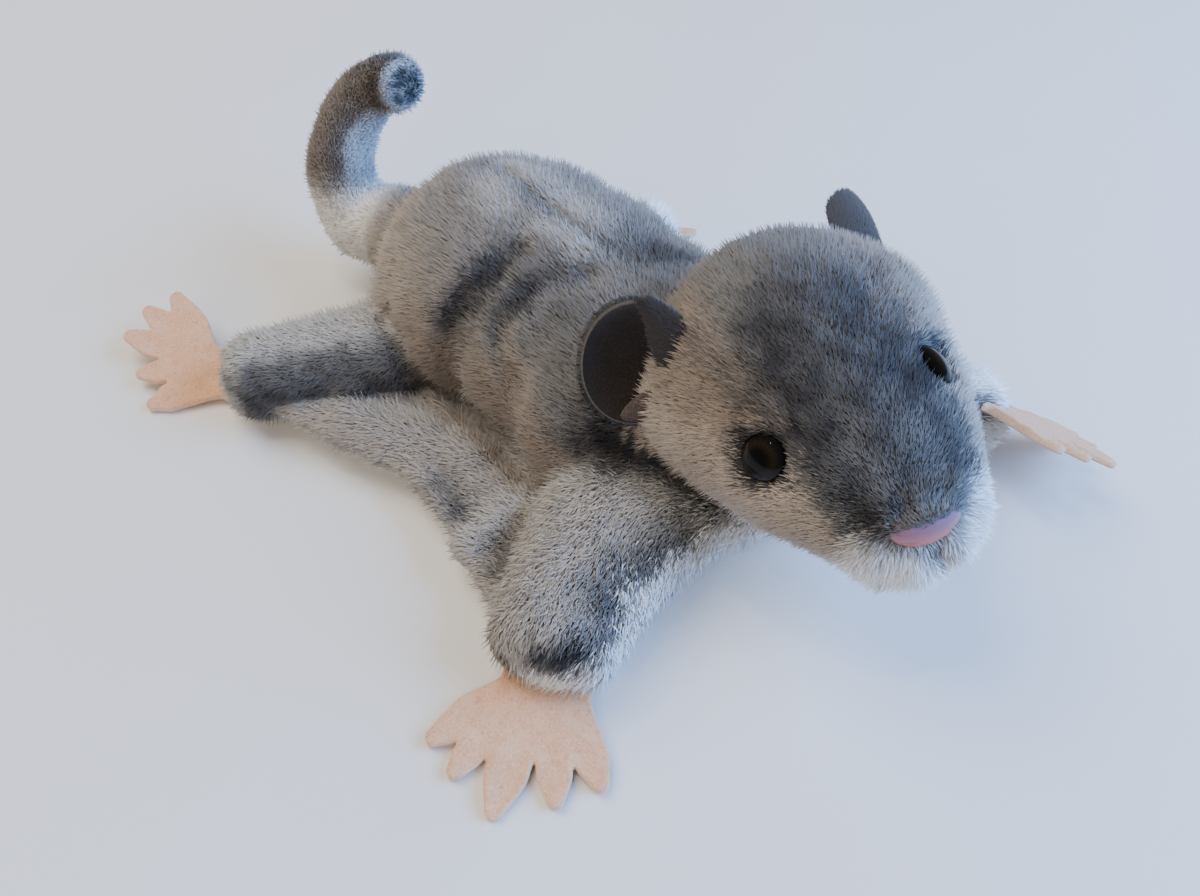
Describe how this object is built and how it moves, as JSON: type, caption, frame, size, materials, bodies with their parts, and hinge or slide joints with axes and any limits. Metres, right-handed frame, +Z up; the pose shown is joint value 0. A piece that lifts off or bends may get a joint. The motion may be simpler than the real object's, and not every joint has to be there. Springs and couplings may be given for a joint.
{
  "type": "plush sugar glider toy",
  "caption": "Stuffed sugar glider toy lying on its belly with legs spread, side flaps between them, head raised and tail curled up; felt hands and feet.",
  "frame": {"origin": "centre of the bounding box's bottom, on the surface the toy lies on", "axes": "+X toward the toy's own left, +Y toward its tail end, +Z up"},
  "size_m": [0.21, 0.263, 0.082],
  "materials": {
    "plush_grey": "short two-tone pile, matte",
    "plush_white": "short white pile, matte",
    "plush_cream": "short cream pile, matte",
    "suede": "dark suede lining, matte",
    "felt_peach": "mottled felt, matte",
    "eye_brown": "glossy",
    "nose_pink": "satin"
  },
  "bodies": {
    "root": {"head": "plush_grey", "neck": "plush_grey", "torso": "plush_grey", "arm_right": "plush_white", "arm_left": "plush_white", "leg_right": "plush_grey", "leg_left": "plush_grey", "flap_right": "plush_grey", "flap_left": "plush_grey", "tail_base": "plush_cream", "tail_middle": "plush_grey", "tail_tip": "plush_grey", "ear_right": "suede", "ear_left": "suede", "eye_right": "eye_brown", "eye_left": "eye_brown", "nose": "nose_pink", "hand_right": "felt_peach", "hand_left": "felt_peach", "foot_right": "felt_peach", "foot_left": "felt_peach"}
  },
  "joints": []
}
